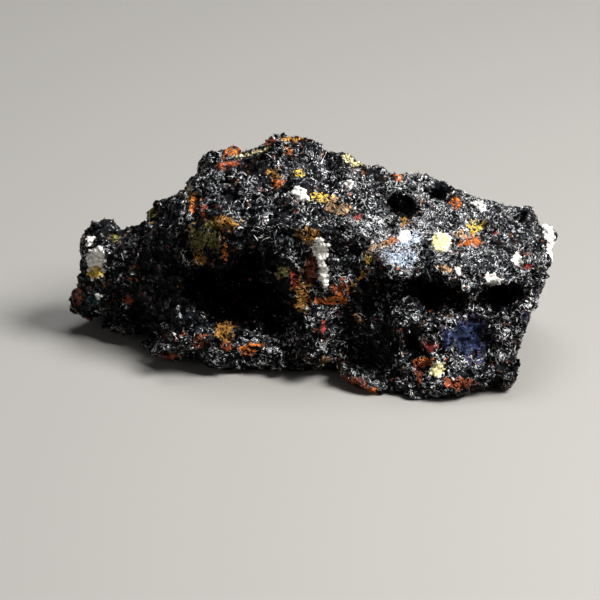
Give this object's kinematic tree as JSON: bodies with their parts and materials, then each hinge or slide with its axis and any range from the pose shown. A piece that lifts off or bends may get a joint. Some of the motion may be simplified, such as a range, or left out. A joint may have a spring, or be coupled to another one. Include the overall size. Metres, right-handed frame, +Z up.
{
  "type": "specular hematite specimen",
  "caption": "Broken lump of foliated specular hematite with a deep front recess, open hollows and a knobbed nub, resting on a flat underside.",
  "frame": {"origin": "middle of the underside of the lump's box, on the surface that the lump rests on", "axes": "+Z up from the flat underside, +X along the length towards the thick end, -Y towards the side with the deep recess"},
  "size_m": [0.1224, 0.0648, 0.053],
  "materials": {
    "specularite": "dark steel-grey iron oxide in small bright flakes, with near black ground between them",
    "limonite": "dull ochre to orange iron hydroxide crust",
    "quartz": "milky white vitreous grains"
  },
  "bodies": {
    "root": {"hematite_specimen": "specularite"}
  },
  "joints": []
}
